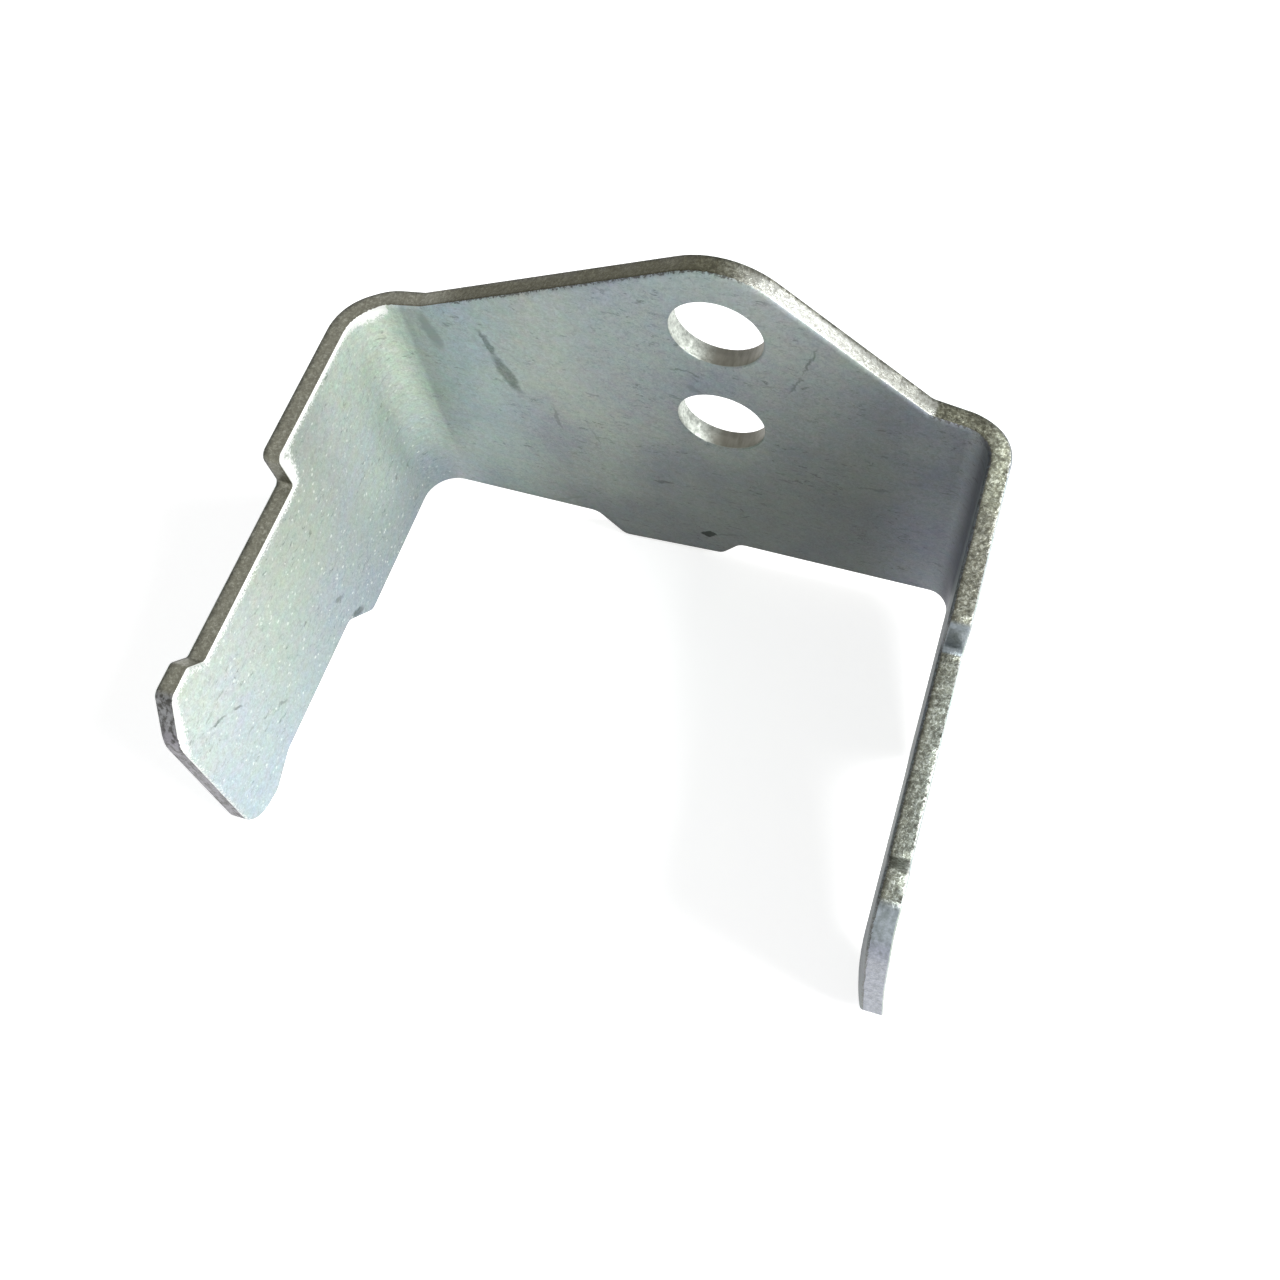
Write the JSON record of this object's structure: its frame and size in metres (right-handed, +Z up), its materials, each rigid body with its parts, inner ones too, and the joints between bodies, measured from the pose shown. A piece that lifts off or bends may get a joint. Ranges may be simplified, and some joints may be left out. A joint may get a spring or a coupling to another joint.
{
  "type": "two-legged clip bracket",
  "caption": "U-shaped stamped sheet-metal clip bracket: an upright web with bolt holes under a peaked top edge, and notched, barbed legs that push into slots.",
  "frame": {"origin": "middle of the two bolt holes, on the outer face of the web", "axes": "+Z up the web towards its peak, +Y out of the web's outer face, so the legs reach out along -Y, and X from the left leg to the right leg"},
  "size_m": [0.0499, 0.0357, 0.037],
  "materials": {
    "bracket": "bare or zinc-plated steel, matt from tumbling"
  },
  "bodies": {
    "root": {"bracket": "bracket"}
  },
  "joints": []
}
